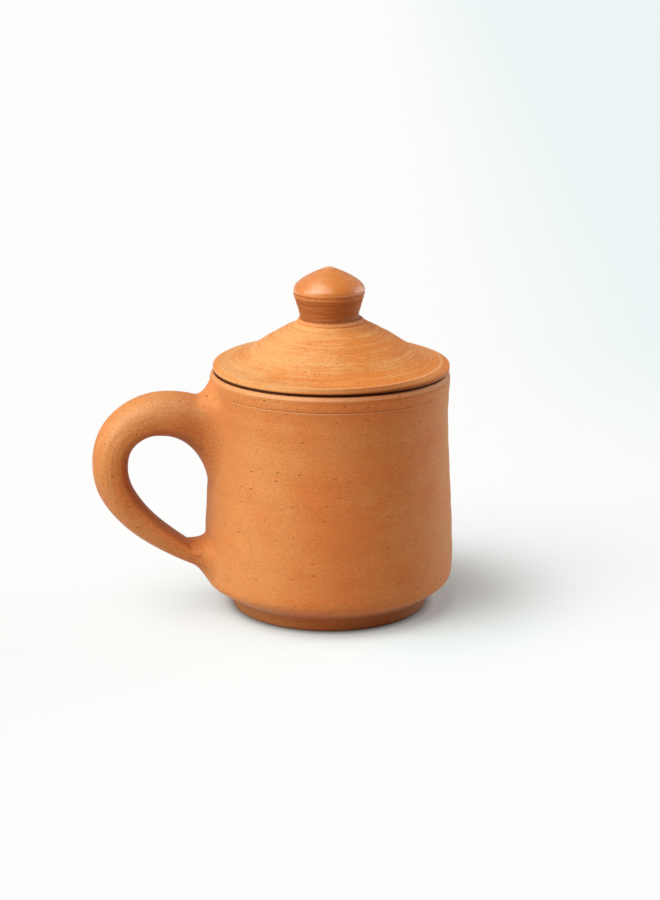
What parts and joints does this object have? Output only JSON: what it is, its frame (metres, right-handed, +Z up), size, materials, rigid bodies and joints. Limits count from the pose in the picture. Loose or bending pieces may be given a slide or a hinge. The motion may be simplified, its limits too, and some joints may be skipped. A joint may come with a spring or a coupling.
{
  "type": "lidded mug",
  "caption": "Unglazed terracotta mug with a turned foot and a pulled ear handle, and a conical lid with a knob that drops into its mouth and lifts off.",
  "frame": {"origin": "middle of the foot, on the table", "axes": "+Z up along the cup's axis, handle along -X"},
  "size_m": [0.1263, 0.0868, 0.12],
  "materials": {
    "fired_clay": "matte",
    "fired_clay_lid": "matte"
  },
  "bodies": {
    "mug": {"mug_body": "fired_clay", "handle": "fired_clay"},
    "lid": {"lid": "fired_clay_lid", "lid_knob": "fired_clay_lid"}
  },
  "joints": [
    {"name": "lid_lift", "type": "slide", "parent": "mug", "child": "lid", "axis": [0, 0, 1], "range_m": [0, 0.08]}
  ]
}
